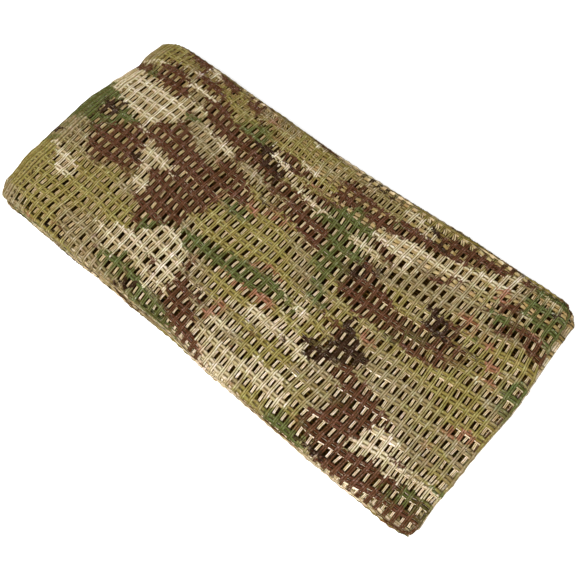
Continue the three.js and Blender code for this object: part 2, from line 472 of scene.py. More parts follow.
def settle(x, y, height):
    """Moves points of the neatly folded cloth to where the soft packet has them."""
    for corner in ROUND_CORNERS:
        x, y = rounded(x, y, corner)
    left = (1 - eased(x, -HALF_LENGTH, END_PULL_REACH - HALF_LENGTH)) * inset_at(LEFT_END, y, height)
    right = eased(x, HALF_LENGTH - END_PULL_REACH, HALF_LENGTH) * inset_at(RIGHT_END, y, height)
    near = (1 - eased(y, -HALF_WIDTH, EDGE_PULL_REACH - HALF_WIDTH)) * inset_at(NEAR_EDGE, x, height)
    far = eased(y, HALF_WIDTH - EDGE_PULL_REACH, HALF_WIDTH) * inset_at(FAR_EDGE, x, height)
    x = x + left - right
    y = y + near - far
    z = (height + HALF_SHEET) * stack_scale(x, y)
    return np.stack([x, y, np.maximum(z, LOWEST_YARN)], 1)


def row_slip(first, pitch):
    """How far the second layer's rows slip along the width to lie under the rows of the top layer."""
    begins = WIDTHWISE["top layer"].begin + WIDTHWISE["second layer"].begin
    meet = FAR_FOLD_Y - NEAR_FOLD_Y + begins - 2 * first
    middle = sum(min(part.drop, 0.0) for part in ROW_SAGS)
    return middle + (meet - middle + 0.5 * pitch) % pitch - 0.5 * pitch


def wavering(wavers, along, across):
    """The sum of slow waves at places along and across them."""
    return sum(w.size * np.sin(FULL_TURN * (along / w.wave + across / w.drift) + w.phase) for w in wavers)


def lay_askew(u, v, askew):
    """Where the uneven cloth has the points of an even net, in its own flat length and width."""
    x = along_line(LENGTHWISE, u)[0][:, 0]
    across = x / HALF_LENGTH
    sag = sum(part.drop * eased(across, part.begin, part.end) for part in ROW_SAGS)
    top = WIDTHWISE["top layer"].begin
    second = WIDTHWISE["second layer"].begin
    share = eased_table((0.0, SAG_HALFWAY * top, top, CLOTH_WIDTH), (0.0, 0.5, 1.0, 1.0), v)
    turned = np.clip((v + sag * share - second) / SLIP_REACH, 0, 1)
    kept = 1 - eased(v, WIDTHWISE["third layer"].begin, CLOTH_WIDTH)
    v = v + sag * share * (1 - turned) + (askew.slip - sag) * turned * kept
    near, far, inner = (part.begin + 0.5 * part.length for part in WIDTHWISE.values() if part.bend)
    out_of_step = eased(v, far, far + SHIFT_EASE) - eased(v, inner, inner + SHIFT_EASE)
    out_of_step = out_of_step + 1 - eased(v, near - SHIFT_EASE, near)
    by_fold = 1 - eased(v - second, *LEAD_FOLD_FADE)
    lead = LEAD + LEAD_AT_RIGHT * eased(across, *LEAD_RIGHT_PART)
    lead = lead + by_fold * (LEAD_MORE_BY_FOLD * eased(across, *LEAD_MORE_PART) - LEAD_LESS_BY_FOLD)
    lead = lead + wavering(LEAD_WAVERS, x, v)
    return u + askew.shift * lead * out_of_step, v


def shade_within(u, y, x, level):
    """How much light reaches points of the neat packet: all at its outside, little between its layers."""
    beneath = OUTER_LAYER + HALF_SHEET - level
    fold_part = LENGTHWISE["right fold"]
    inside = u > fold_part.begin + 0.5 * fold_part.length
    beneath = np.where(inside, DEEP_DARK[-1].depth, beneath)
    from_side = np.minimum(HALF_WIDTH - np.abs(y), HALF_LENGTH - np.abs(x))
    depth = np.minimum(beneath, SIDE_LIGHT * np.maximum(from_side, 0.0))
    return eased_table([row.depth for row in DEEP_DARK], [row.light for row in DEEP_DARK], depth)


def second_layer_light(x, y, v, upright):
    """How much brighter or darker the second layer is painted than the top one, for its columns or its rows.
    """
    past_fold = v - WIDTHWISE["second layer"].begin
    across = x / HALF_LENGTH
    fold_shade, reach = (COLUMNS_FOLD_SHADE, SLIP_REACH) if upright else (ROWS_FOLD_SHADE, 2 * SLIP_REACH)
    by_fold = fold_shade * (1 - eased(past_fold / reach, *FOLD_FADE))
    at_left = LEFT_SHADE * (1 - eased(across, *LEFT_FADE))
    at_near = NEAR_LIGHT * eased(-y / HALF_WIDTH, *NEAR_FADE) * eased(across, *NEAR_LEFT_FADE)
    # Painted shade by the fold and at the left, painted light at the near side
    light = (1 - by_fold) * (1 - at_left) * (1 + at_near)
    return 1 + eased(past_fold, 0.0, SECOND_EASE) * (light - 1)


def fold(flat, askew, upright):
    """Folds and settles points of the flat net: length, width and height above the cloth's middle."""
    u, v = lay_askew(flat[:, 0], flat[:, 1], askew)
    lift = flat[:, 2]
    across, facing = along_line(WIDTHWISE, v)
    y = across[:, 0] + lift * facing[:, 0]
    level = across[:, 1] + lift * facing[:, 1]
    place, normal = along_line(LENGTHWISE, u)
    x = place[:, 0] + level * normal[:, 0]
    height = place[:, 1] + level * normal[:, 1]
    shade = shade_within(u, y, x, level) * second_layer_light(x, y, v, upright)
    x = x + COLUMN_STRETCH * (1 - np.clip(x / HALF_LENGTH, -1, 1) ** 2)
    inner = eased(HALF_WIDTH - np.abs(y), 0.0, SHIFT_EASE)
    x, y = x + wavering(COLUMN_WAVERS, y, x), y + inner * wavering(ROW_WAVERS, x, y)
    return settle(x, y, height), shade


# How nodes are set out in the editor, and a Mix node's sockets for colours and for numbers
NODES_ACROSS = 12
NODE_STEP = (180, -220)
MIX_COLOURS = (6, 7)
MIX_COLOUR = 2
MIX_NUMBERS = (2, 3)


class NodeMaker:
    """Short calls to add nodes to a tree and to join their sockets."""

    def __init__(self, tree):
        self.tree = tree
        self.count = 0

    def add(self, kind, inputs=(), **settings):
        """A node with its settings, and its inputs set or joined by name or number."""
        node = self.tree.nodes.new(kind)
        row, column = divmod(self.count, NODES_ACROSS)
        node.location = (NODE_STEP[0] * column, NODE_STEP[1] * row)
        self.count += 1
        for name, value in settings.items():
            setattr(node, name, value)
        for name, value in dict(inputs).items():
            self.feed(node.inputs[name], value)
        return node

    def feed(self, socket, value):
        """Joins a socket to another one, or sets its value."""
        if isinstance(value, bpy.types.NodeSocket):
            self.tree.links.new(value, socket)
        else:
            socket.default_value = value

    def math(self, operation, *values):
        """The result of a Math node on sockets or numbers."""
        return self.add("ShaderNodeMath", dict(enumerate(values)), operation=operation).outputs[0]

    def vector(self, x, y, z):
        """A vector from sockets or numbers."""
        return self.add("ShaderNodeCombineXYZ", {"X": x, "Y": y, "Z": z}).outputs[0]

    def parts(self, vector):
        """The three numbers of a vector, by the names X, Y and Z."""
        return self.add("ShaderNodeSeparateXYZ", {0: vector}).outputs

    def scaled(self, vector, by, plus=(0.0, 0.0, 0.0)):
        """A vector scaled by another, and moved by a third."""
        node = self.add("ShaderNodeVectorMath", {0: vector, 1: by, 2: plus}, operation="MULTIPLY_ADD")
        return node.outputs[0]

    def noise(self, place, rate, detail, wander=0.0):
        """The outputs of a noise at a place."""
        inputs = {"Vector": place, "Scale": rate, "Detail": detail, "Distortion": wander}
        return self.add("ShaderNodeTexNoise", inputs).outputs

    def ramp(self, value, span, reach=(0.0, 1.0), kind="SMOOTHSTEP"):
        """A value of one span carried over to the reach of another, and held at its ends."""
        inputs = {
            "Value": value,
            "From Min": span[0],
            "From Max": span[1],
            "To Min": reach[0],
            "To Max": reach[1],
        }
        return self.add("ShaderNodeMapRange", inputs, interpolation_type=kind).outputs[0]

    def mix(self, share, first, second, **settings):
        """The mix of two colours by the share of the second."""
        inputs = {"Factor": share, MIX_COLOURS[0]: first, MIX_COLOURS[1]: second}
        return self.add("ShaderNodeMix", inputs, data_type="RGBA", **settings).outputs[MIX_COLOUR]


def new_tree(name, kind, inputs, outputs):
    """A node group with named inputs and outputs, and its maker, input and output nodes."""
    tree = bpy.data.node_groups.new(name, kind)
    for label, socket, default in inputs:
        made = tree.interface.new_socket(label, in_out="INPUT", socket_type=socket)
        if default is not None:
            made.default_value = default
    for label, socket in outputs:
        tree.interface.new_socket(label, in_out="OUTPUT", socket_type=socket)
    make = NodeMaker(tree)
    return tree, make, make.add("NodeGroupInput").outputs, make.add("NodeGroupOutput").inputs


INTEGER = "NodeSocketInt"
NUMBER = "NodeSocketFloat"
GEOMETRY = "NodeSocketGeometry"
MATERIAL = "NodeSocketMaterial"
VECTOR = "NodeSocketVector"
COLOUR = "NodeSocketColor"


def yarn_set_tree():
    """Geometry Nodes that carry the bands of a net along a run, each band a few uneven strands."""
    tree, make, given, result = new_tree(
        "yarn set",
        "GeometryNodeTree",
        (
            ("Run", GEOMETRY, None),
            ("Bands", INTEGER, 1),
            ("First band", NUMBER, 0.0),
            ("Band pitch", NUMBER, 0.01),
            ("Strands", INTEGER, 1),
            ("Strand pitch", NUMBER, 0.001),
            ("Strand width", NUMBER, 0.001),
            ("Strand thickness", NUMBER, 0.001),
            ("Sides", INTEGER, 5),
            ("Rest height", NUMBER, 0.0),
            ("Lift at crossings", NUMBER, 0.0),
            ("First crossing", NUMBER, 0.0),
            ("Crossing pitch", NUMBER, 0.01),
            ("Pinch at crossings", NUMBER, 0.0),
            ("Swell between crossings", NUMBER, 0.0),
            ("Slub", NUMBER, 0.0),
            ("Wander", NUMBER, 0.0),
            ("Quarter turns", NUMBER, 0.0),
            ("Material", MATERIAL, None),
        ),
        (("Net", GEOMETRY),),
    )
    strands = given["Strands"]
    half_count = make.math("MULTIPLY", make.math("SUBTRACT", strands, 1.0), 0.5)
    first_strand = make.math("MULTIPLY", make.math("MULTIPLY", half_count, given["Strand pitch"]), -1.0)
    bands = make.add(
        "GeometryNodeMeshLine",
        {
            "Count": given["Bands"],
            "Start Location": make.vector(0.0, given["First band"], 0.0),
            "Offset": make.vector(0.0, given["Band pitch"], 0.0),
        },
    )
    in_band = make.add(
        "GeometryNodeMeshLine",
        {
            "Count": strands,
            "Start Location": make.vector(0.0, first_strand, 0.0),
            "Offset": make.vector(0.0, given["Strand pitch"], 0.0),
        },
    )
    placed = make.add(
        "GeometryNodeInstanceOnPoints",
        {"Points": bands.outputs[0], "Instance": in_band.outputs[0]},
    )
    starts = make.add("GeometryNodeRealizeInstances", {0: placed.outputs[0]})
    run = make.add("GeometryNodeMeshToCurve", {"Mesh": given["Run"]})
    laid = make.add("GeometryNodeInstanceOnPoints", {"Points": starts.outputs[0], "Instance": run.outputs[0]})
    yarns = make.add("GeometryNodeRealizeInstances", {0: laid.outputs[0]})

    # Waves over and under the other yarns, and an uneven thickness and course
    place = make.parts(make.add("GeometryNodeInputPosition").outputs[0])
    past_crossing = make.math("SUBTRACT", place["X"], given["First crossing"])
    cycles = make.math("DIVIDE", past_crossing, given["Crossing pitch"])
    crossing = make.math("COSINE", make.math("MULTIPLY", cycles, FULL_TURN))
    strand = make.add("GeometryNodeCurveOfPoint").outputs["Curve Index"]
    beside = make.math("SUBTRACT", make.math("FLOORED_MODULO", strand, strands), half_count)
    squeeze = make.math("MULTIPLY", make.math("MULTIPLY", given["Pinch at crossings"], crossing), -1.0)
    pinch = make.math("MULTIPLY", make.math("MULTIPLY", beside, given["Strand pitch"]), squeeze)
    on_strand = make.vector(place["X"], make.math("MULTIPLY", place["Y"], SLUB_BETWEEN), 0.0)
    uneven = make.parts(make.noise(on_strand, *SLUB_NOISE)["Color"])
    sideways = make.math("MULTIPLY", make.math("SUBTRACT", uneven["X"], 0.5), given["Wander"])
    upwards = make.math("MULTIPLY", make.math("SUBTRACT", uneven["Y"], 0.5), given["Wander"])
    wave = make.math("ADD", given["Rest height"], make.math("MULTIPLY", given["Lift at crossings"], crossing))
    course = make.vector(
        place["X"],
        make.math("ADD", make.math("ADD", place["Y"], pinch), sideways),
        make.math("ADD", wave, upwards),
    )
    waved = make.add("GeometryNodeSetPosition", {"Geometry": yarns.outputs[0], "Position": course})
    level = make.add("GeometryNodeSetCurveNormal", {"Curve": waved.outputs[0]}, mode="Z_UP")
    along = make.add(
        "GeometryNodeStoreNamedAttribute",
        {"Geometry": level.outputs[0], "Name": "run", "Value": place["X"]},
    )
    numbered = make.add(
        "GeometryNodeStoreNamedAttribute",
        {"Geometry": along.outputs[0], "Name": "strand", "Value": strand},
    )

    # The section of a strand, with the direction of each of its points
    ring = make.add("GeometryNodeCurvePrimitiveCircle", {"Resolution": given["Sides"], "Radius": 1.0})
    upright = make.add(
        "GeometryNodeTransform",
        {"Geometry": ring.outputs[0], "Rotation": make.vector(0.0, 0.0, -HALF_TURN / 2)},
    )
    on_ring = make.add("GeometryNodeInputPosition").outputs[0]
    spokes = make.add(
        "GeometryNodeStoreNamedAttribute",
        {"Geometry": upright.outputs[0], "Name": "spoke", "Value": on_ring},
        data_type="FLOAT_VECTOR",
    )
    half_width = make.math("MULTIPLY", given["Strand width"], 0.5)
    half_thickness = make.math("MULTIPLY", given["Strand thickness"], 0.5)
    section = make.add(
        "GeometryNodeTransform",
        {"Geometry": spokes.outputs[0], "Scale": make.vector(half_width, half_thickness, 1.0)},
    )
    swell = make.math("MULTIPLY", given["Swell between crossings"], crossing)
    swing = make.math("MULTIPLY", make.math("SUBTRACT", uneven["Z"], 0.5), given["Slub"])
    tubes = make.add(
        "GeometryNodeCurveToMesh",
        {
            "Curve": numbered.outputs[0],
            "Profile Curve": section.outputs[0],
            "Scale": make.math("SUBTRACT", make.math("ADD", 1.0, swing), swell),
            "Fill Caps": True,
        },
    )
    quarter = make.math("MULTIPLY", given["Quarter turns"], HALF_TURN / 2)
    turned = make.add(
        "GeometryNodeTransform",
        {"Geometry": tubes.outputs[0], "Rotation": make.vector(0.0, 0.0, quarter)},
    )
    whole = make.add("GeometryNodeRealizeInstances", {0: turned.outputs[0]})
    dressed = make.add(
        "GeometryNodeSetMaterial",
        {"Geometry": whole.outputs[0], "Material": given["Material"]},
    )
    make.feed(result[0], dressed.outputs[0])
    return tree


def tree_inputs(tree):
    """The identifier of each named input of a Geometry Nodes tree."""
    sockets = [s for s in tree.interface.items_tree if s.item_type == "SOCKET" and s.in_out == "INPUT"]
    return {socket.name: socket.identifier for socket in sockets}


def grown(name, base, tree, values):
    """The mesh that a Geometry Nodes tree makes from a base mesh with these inputs."""
    carrier = bpy.data.objects.new(name, base)
    bpy.context.scene.collection.objects.link(carrier)
    modifier = carrier.modifiers.new(name, "NODES")
    modifier.node_group = tree
    identifiers = tree_inputs(tree)
    for label, value in values.items():
        modifier[identifiers[label]] = value
    depsgraph = bpy.context.evaluated_depsgraph_get()
    mesh = bpy.data.meshes.new_from_object(carrier.evaluated_get(depsgraph), depsgraph=depsgraph)
    carrier.modifiers.clear()
    bpy.data.objects.remove(carrier)
    bpy.data.meshes.remove(base)
    if not mesh.polygons:
        raise RuntimeError(f"{name}: the tree made no faces")
    return mesh


# One set of like bands of the flat net: where they lie and what their strands are like
BandSet = namedtuple("BandSet", "first pitch count begin end yarn detail crosses_at crosses_every upright")
# A yarn's crossing shade is painted shade: its strands are painted lighter where they pass over the crossing
# bands and darker where they dip under them
Yarn = namedtuple("Yarn", "strands pitch width thickness rest lift pinch swell slub wander tone beat dye")

# How finely strands are made: sides round them, steps between crossings and the largest turn in a fold
Detail = namedtuple("Detail", "sides steps fold_step")

# A rectangle of the cloth that becomes one piece
Stretch = namedtuple(
    "Stretch",
    "name length width columns rows relief columns_width cords broad stray",
    defaults=(0.7, 1.0, False, False, 1.0),
)


def stations(line, band):
    """A line of points along a run: even steps from crossing to crossing, and more in each fold."""
    step = band.crosses_every / band.detail.steps
    low = math.ceil((band.begin - band.crosses_at) / step)
    high = math.floor((band.end - band.crosses_at) / step)
    places = [np.array([band.begin, band.end]), band.crosses_at + step * np.arange(low, high + 1)]
    for part in line.values():
        if part.bend:
            count = math.ceil(abs(part.bend * part.length) / band.detail.fold_step)
            places.append(np.linspace(part.begin, part.begin + part.length, count + 1))
    places = np.concatenate(places)
    places = np.unique(places[(places >= band.begin) & (places <= band.end)])
    places = places[np.concatenate([[True], np.diff(places) > CLOSEST_STATION])]
    places[-1] = band.end
    mesh = bpy.data.meshes.new("run")
    points = [(place, 0.0, 0.0) for place in places]
    mesh.from_pydata(points, [(i, i + 1) for i in range(len(points) - 1)], [])
    return mesh


def fullness(sides):
    """How much larger a few-sided section is drawn, so that it is as long round as a round one."""
    return math.pi / (sides * math.sin(math.pi / sides))


def woven_bands(name, band, relief, tree, material):
    """The flat mesh of a set of bands. Upright bands run along the cloth's width, others along its length."""
    yarn = band.yarn
    full = fullness(band.detail.sides)
    sign = -1.0 if band.upright else 1.0
    values = {
        "Bands": band.count,
        "First band": sign * band.first,
        "Band pitch": sign * band.pitch,
        "Strands": yarn.strands,
        "Strand pitch": yarn.pitch,
        "Strand width": yarn.width * full,
        "Strand thickness": yarn.thickness * full,
        "Sides": band.detail.sides,
        "Rest height": yarn.rest * relief,
        "Lift at crossings": yarn.lift * relief,
        "First crossing": band.crosses_at,
        "Crossing pitch": band.crosses_every,
        "Pinch at crossings": yarn.pinch,
        "Swell between crossings": yarn.swell,
        "Slub": yarn.slub,
        "Wander": yarn.wander,
        "Quarter turns": 1.0 if band.upright else 0.0,
        "Material": material,
    }
    line = WIDTHWISE if band.upright else LENGTHWISE
    return grown(name, stations(line, band), tree, values)


def numbers(items, name, kind, width=1):
    """A plain array of one property of many mesh items."""
    found = np.empty(len(items) * width, kind)
    items.foreach_get(name, found)
    return found.reshape(-1, width) if width > 1 else found


MeshData = namedtuple("MeshData", "place spoke strand run loops starts counts")


def mesh_data(mesh):
    """The arrays of a flat set of bands that the fold and the maps need."""
    attributes = mesh.attributes
    return MeshData(
        place=numbers(mesh.vertices, "co", np.float32, 3).astype(float),
        spoke=numbers(attributes["spoke"].data, "vector", np.float32, 3)[:, :2] * (1.0, -1.0),
        strand=numbers(attributes["strand"].data, "value", np.float32).astype(int),
        run=numbers(attributes["run"].data, "value", np.float32).astype(float),
        loops=numbers(mesh.loops, "vertex_index", np.int32),
        starts=numbers(mesh.polygons, "loop_start", np.int32),
        counts=numbers(mesh.polygons, "loop_total", np.int32),
    )


def strip_map(data, band, first_strip, strips):
    """A map of each strand as an unrolled strip: columns side by side below, rows stacked above."""
    round_share = (np.arctan2(data.spoke[:, 1], data.spoke[:, 0]) / FULL_TURN) % 1.0
    around = round_share[data.loops]
    face = np.repeat(np.arange(len(data.counts)), data.counts)
    most = np.maximum.reduceat(around, data.starts)
    around = np.where(most[face] - around > 0.5, around + 1.0, around)
    inside = STRIP_MARGIN + (1 - 2 * STRIP_MARGIN) * around
    across = (first_strip + data.strand[data.loops] + inside) / strips
    along = (data.run[data.loops] - band.begin) / (band.end - band.begin)
    if band.upright:
        return np.stack([across, COLUMN_SHARE * along], 1)
    return np.stack([along, COLUMN_SHARE + (1 - COLUMN_SHARE) * across], 1)


def band_wander(run, band, count, chance):
    """How far each band strays sideways along its run, as a few slow waves of its own."""
    astray = np.zeros(len(run))
    for wave, size in BAND_WANDERS:
        phase = chance.uniform(0, FULL_TURN, count)
        reach = size * chance.uniform(LEAST_WANDER, 1.0, count)
        astray += reach[band] * np.sin(FULL_TURN * run / wave + phase[band])
    return astray


def folded_set(data, band, stray, askew, chance):
    """Folded points of a set of bands, with their places on the cloth and the yarn, and their dye and painted
    shade.
    """
    yarn = band.yarn
    strands = band.count * yarn.strands
    along, across = (1, 0) if band.upright else (0, 1)
    strayed = data.place.copy()
    strayed[:, across] += stray * band_wander(data.run, data.strand // yarn.strands, band.count, chance)
    folded, shade = fold(strayed, askew, band.upright)
    tones = chance.normal(1.0, DYE_SPREAD, strands)
    # Painted shade: each strand lighter where it passes over the crossing bands, darker where it dips under
    # them
    beat = np.cos(FULL_TURN * (data.run - band.crosses_at) / band.crosses_every)
    tone = yarn.tone * tones[data.strand] * (1 + yarn.beat * beat)
    slips = chance.normal(0.0, PRINT_SLIP, strands)
    on_cloth = data.place[:, :2].copy()
    on_cloth[:, along] += slips[data.strand]
    return {
        "place": folded,
        "flat_place": np.column_stack([on_cloth, data.spoke[:, 1]]),
        "yarn_place": np.column_stack([data.run, data.spoke]),
        # Strand tone with painted crossing shade, dye, and painted shade by depth in the packet
        "yarn_dye_and_shade": np.column_stack([tone, np.full(len(tone), yarn.dye), shade]),
    }


def bare_mesh(name, place, loops, counts):
    """A smooth mesh from its points, the points of its faces and how many each face has."""
    mesh = bpy.data.meshes.new(name)
    mesh.vertices.add(len(place))
    mesh.vertices.foreach_set("co", place.astype(np.float32).ravel())
    mesh.loops.add(len(loops))
    mesh.loops.foreach_set("vertex_index", loops.astype(np.int32))
    mesh.polygons.add(len(counts))
    starts = np.concatenate([[0], np.cumsum(counts)[:-1]])
    mesh.polygons.foreach_set("loop_start", starts.astype(np.int32))
    mesh.polygons.foreach_set("use_smooth", np.ones(len(counts), bool))
    mesh.update(calc_edges=True)
    return mesh


def folded_mesh(stretch, sets, askew, material):
    """One mesh of all the sets of a stretch, folded, with its place on the cloth kept for the print."""
    chance = np.random.default_rng(DYE_SEED)
    offset = 0
    points = []
    loops = []
    counts = []
    maps = []
    for upright in (True, False):
        same = [(data, band) for data, band in sets if band.upright == upright]
        strips = sum(band.count * band.yarn.strands for _, band in same)
        first_strip = 0
        for data, band in same:
            points.append(folded_set(data, band, stretch.stray, askew, chance))
            loops.append(data.loops + offset)
            counts.append(data.counts)
            maps.append(strip_map(data, band, first_strip, strips))
            first_strip += band.count * band.yarn.strands
            offset += len(data.place)
    points = {label: np.concatenate([part[label] for part in points]) for label in points[0]}
    mesh = bare_mesh(stretch.name, points.pop("place"), np.concatenate(loops), np.concatenate(counts))
    for label, values in points.items():
        layer = mesh.attributes.new(label, "FLOAT_VECTOR", "POINT")
        layer.data.foreach_set("vector", values.astype(np.float32).ravel())
    layer = mesh.uv_layers.new(name=BAKE_MAP, do_init=False)
    layer.uv.foreach_set("vector", np.concatenate(maps).astype(np.float32).ravel())
    mesh.materials.append(material)
    if mesh.validate():
        raise RuntimeError(f"{stretch.name}: the folded mesh has faulty faces")
    return mesh


def linear(red, green, blue):
    """A colour in linear light from its screen values of 0 to 255."""
    def one(value):
        share = value / 255
        return share / 12.92 if share <= 0.04045 else ((share + 0.055) / 1.055) ** 2.4
    return one(red), one(green), one(blue)


class ScrimNetSizes(bpy.types.PropertyGroup):
    """Sizes of the net's bands and yarns"""

    column_pitch: bpy.props.FloatProperty(
        name="Column pitch",
        description="From one straight band across the cloth to the next",
        default=8.6 * MM,
        min=4 * MM,
        subtype="DISTANCE",
    )
    row_pitch: bpy.props.FloatProperty(
        name="Row pitch",
        description="From one pair of plump strands along the cloth to the next",
        default=13.3 * MM,
        min=6 * MM,
        subtype="DISTANCE",
    )
    row_first: bpy.props.FloatProperty(
        name="First row",
        description="From the cloth's edge to the first row after its close edge bands",
        default=20.2 * MM,
        min=10 * MM,
        subtype="DISTANCE",
    )
    column_first: bpy.props.FloatProperty(
        name="First column",
        description="From the cloth's end to the first column after its close end bands",
        default=22.2 * MM,
        min=10 * MM,
        subtype="DISTANCE",
    )
    fine_width: bpy.props.FloatProperty(
        name="Fine yarn width",
        description="Width of one of the two yarns of a column",
        default=1.8 * MM,
        min=0.2 * MM,
        subtype="DISTANCE",
    )
    fine_thickness: bpy.props.FloatProperty(
        name="Fine yarn thickness",
        description="Thickness of one of the two yarns of a column",
        default=0.95 * MM,
        min=0.2 * MM,
        subtype="DISTANCE",
    )
    plump_width: bpy.props.FloatProperty(
        name="Plump strand width",
        description="Width of one of the two strands of a row",
        default=2.8 * MM,
        min=0.2 * MM,
        subtype="DISTANCE",
    )
    plump_thickness: bpy.props.FloatProperty(
        name="Plump strand thickness",
        description="Thickness of one of the two strands of a row",
        default=1.3 * MM,
        min=0.2 * MM,
        subtype="DISTANCE",
    )


class ScrimPrintColours(bpy.types.PropertyGroup):
    """Colours of the print and of the bare yarn"""

    khaki: bpy.props.FloatVectorProperty(
        name="Khaki",
        description="Ground of the print",
        default=linear(128, 114, 83),
        subtype="COLOR",
    )
    olive: bpy.props.FloatVectorProperty(
        name="Olive",
        description="Broad yellow-green patches",
        default=linear(122, 110, 60),
        subtype="COLOR",
    )
    green: bpy.props.FloatVectorProperty(
        name="Green",
        description="Leaf-green patches",
        default=linear(76, 80, 41),
        subtype="COLOR",
    )
    brown: bpy.props.FloatVectorProperty(
        name="Brown",
        description="Large brown patches",
        default=linear(75, 46, 29),
        subtype="COLOR",
    )
    dark: bpy.props.FloatVectorProperty(
        name="Dark brown",
        description="Small dark patches",
        default=linear(44, 27, 16),
        subtype="COLOR",
    )
    clay: bpy.props.FloatVectorProperty(
        name="Clay",
        description="Small reddish tan patches",
        default=linear(128, 88, 64),
        subtype="COLOR",
    )
    cream: bpy.props.FloatVectorProperty(
        name="Cream",
        description="Pale streaks on top",
        default=linear(168, 154, 124),
        subtype="COLOR",
    )
    bare: bpy.props.FloatVectorProperty(
        name="Bare yarn",
        description="Yarn where the print does not reach",
        default=linear(208, 190, 162),
        subtype="COLOR",
    )


class ScrimStageSizes(bpy.types.PropertyGroup):
    """Floor and light round the packet"""

    floor_size: bpy.props.FloatProperty(
        name="Floor size",
        description="Side of the square floor",
        default=8.0,
        min=1.0,
        subtype="DISTANCE",
    )
    floor_colour: bpy.props.FloatVectorProperty(
        name="Floor colour",
        description="Pale colour of the floor",
        default=linear(255, 255, 255),
        subtype="COLOR",
    )
    key_power: bpy.props.FloatProperty(
        name="Key light",
        description="Power of the broad light overhead",
        default=34.0,
        min=0.0,
        unit="POWER",
    )
    sky_strength: bpy.props.FloatProperty(
        name="Sky",
        description="Strength of the even light from all round",
        default=0.65,
        min=0.0,
    )


def camouflage_group():
    """Node group of the print: soft-edged blotches of several colours over an uneven ground."""
    tree, make, given, result = new_tree(
        "camouflage print",
        "ShaderNodeTree",
        (("Place", VECTOR, None),) + tuple((name, COLOUR, None) for name in PRINT_COLOURS),
        (("Colour", COLOUR),),
    )
    colour = given[PRINT_COLOURS[0]]
    for layer in PRINT_LAYERS:
        moved = make.add(
            "ShaderNodeMapping",
            {
                "Vector": given["Place"],
                "Location": layer.start,
                "Rotation": (0.0, 0.0, layer.turn),
                "Scale": layer.rate,
            },
        )
        noise = make.noise(moved.outputs[0], 1.0, layer.detail, layer.wander)
        mask = make.ramp(noise["Fac"], (layer.begins - layer.edge, layer.begins + layer.edge))
        colour = make.mix(mask, colour, given[layer.colour])
    make.feed(result[0], colour)
    return tree


def twist_group():
    """Node group of the yarn's twist: a groove that winds round each strand."""
    tree, make, given, result = new_tree(
        "yarn twist",
        "ShaderNodeTree",
        (
            ("Yarn place", VECTOR, None),
            ("Turns to the metre", NUMBER, TWIST_TURNS),
            ("Plies", NUMBER, TWIST_PLIES),
        ),
        (("Height", NUMBER),),
    )
    place = make.parts(given["Yarn place"])
    angle = make.math("MULTIPLY", make.math("ARCTAN2", place["Z"], place["Y"]), given["Plies"])
    along = make.math("MULTIPLY", make.math("MULTIPLY", place["X"], given["Turns to the metre"]), FULL_TURN)
    wave = make.math("SINE", make.math("ADD", along, angle))
    make.feed(result["Height"], make.math("ABSOLUTE", wave))
    return tree


